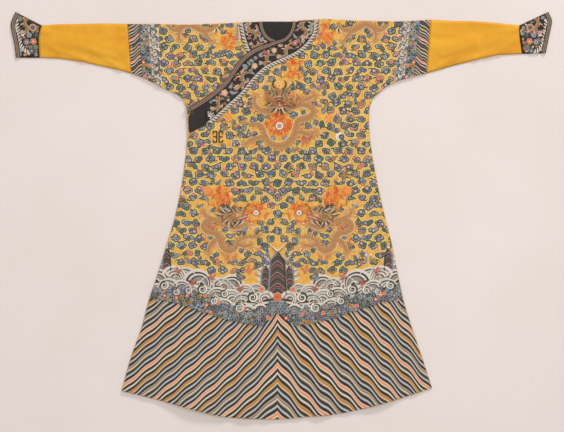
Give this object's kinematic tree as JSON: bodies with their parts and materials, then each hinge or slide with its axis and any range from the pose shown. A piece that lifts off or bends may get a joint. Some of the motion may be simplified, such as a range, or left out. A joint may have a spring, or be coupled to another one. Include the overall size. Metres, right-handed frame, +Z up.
{
  "type": "chinese dragon robe laid flat",
  "caption": "Full-length side-closing robe laid out flat, with long sleeves, flared horse-hoof cuffs, a shaped dark collar band and ball-and-loop fastening.",
  "frame": {"origin": "on the surface that the robe lies on, under the middle of its whole outline", "axes": "+Y towards the neck, +X towards the wearer's left sleeve, +Z up out of the front of the robe"},
  "size_m": [1.9359, 1.459, 0.0195],
  "materials": {
    "worked_silk": "yellow satin silk worked all over with clouds, dragons, waves and hem stripes in coloured silks",
    "plain_silk": "plain yellow satin silk, soft sheen",
    "dark_worked_silk": "dark brown-blue satin worked with dragons, clouds and flowers",
    "dark_satin": "plain blue-black satin",
    "brown_binding": "ribbed brown silk and dull metal-thread binding",
    "twist_braid": "off-white and slate braid in a twisted-rope pattern",
    "gilt_brass": "worn gilt",
    "loop_cord": "brown silk cord"
  },
  "bodies": {
    "root": {"back_right": "worked_silk", "back_left": "worked_silk", "front_inner": "worked_silk", "front_overlap": "worked_silk", "front_left": "worked_silk", "sleeve_right": "plain_silk", "sleeve_left": "plain_silk", "cuff_right": "dark_worked_silk", "cuff_left": "dark_worked_silk", "cuff_binding_right": "brown_binding", "cuff_binding_left": "brown_binding", "collar_inner": "dark_worked_silk", "collar_outer": "dark_worked_silk", "overlap_block": "dark_satin", "binding_inner": "brown_binding", "binding_outer": "brown_binding", "braid_inner": "twist_braid", "braid_outer": "twist_braid", "button_1": "gilt_brass", "button_2": "gilt_brass", "button_3": "gilt_brass", "loop_1": "loop_cord", "loop_2": "loop_cord", "loop_3": "loop_cord"}
  },
  "joints": []
}
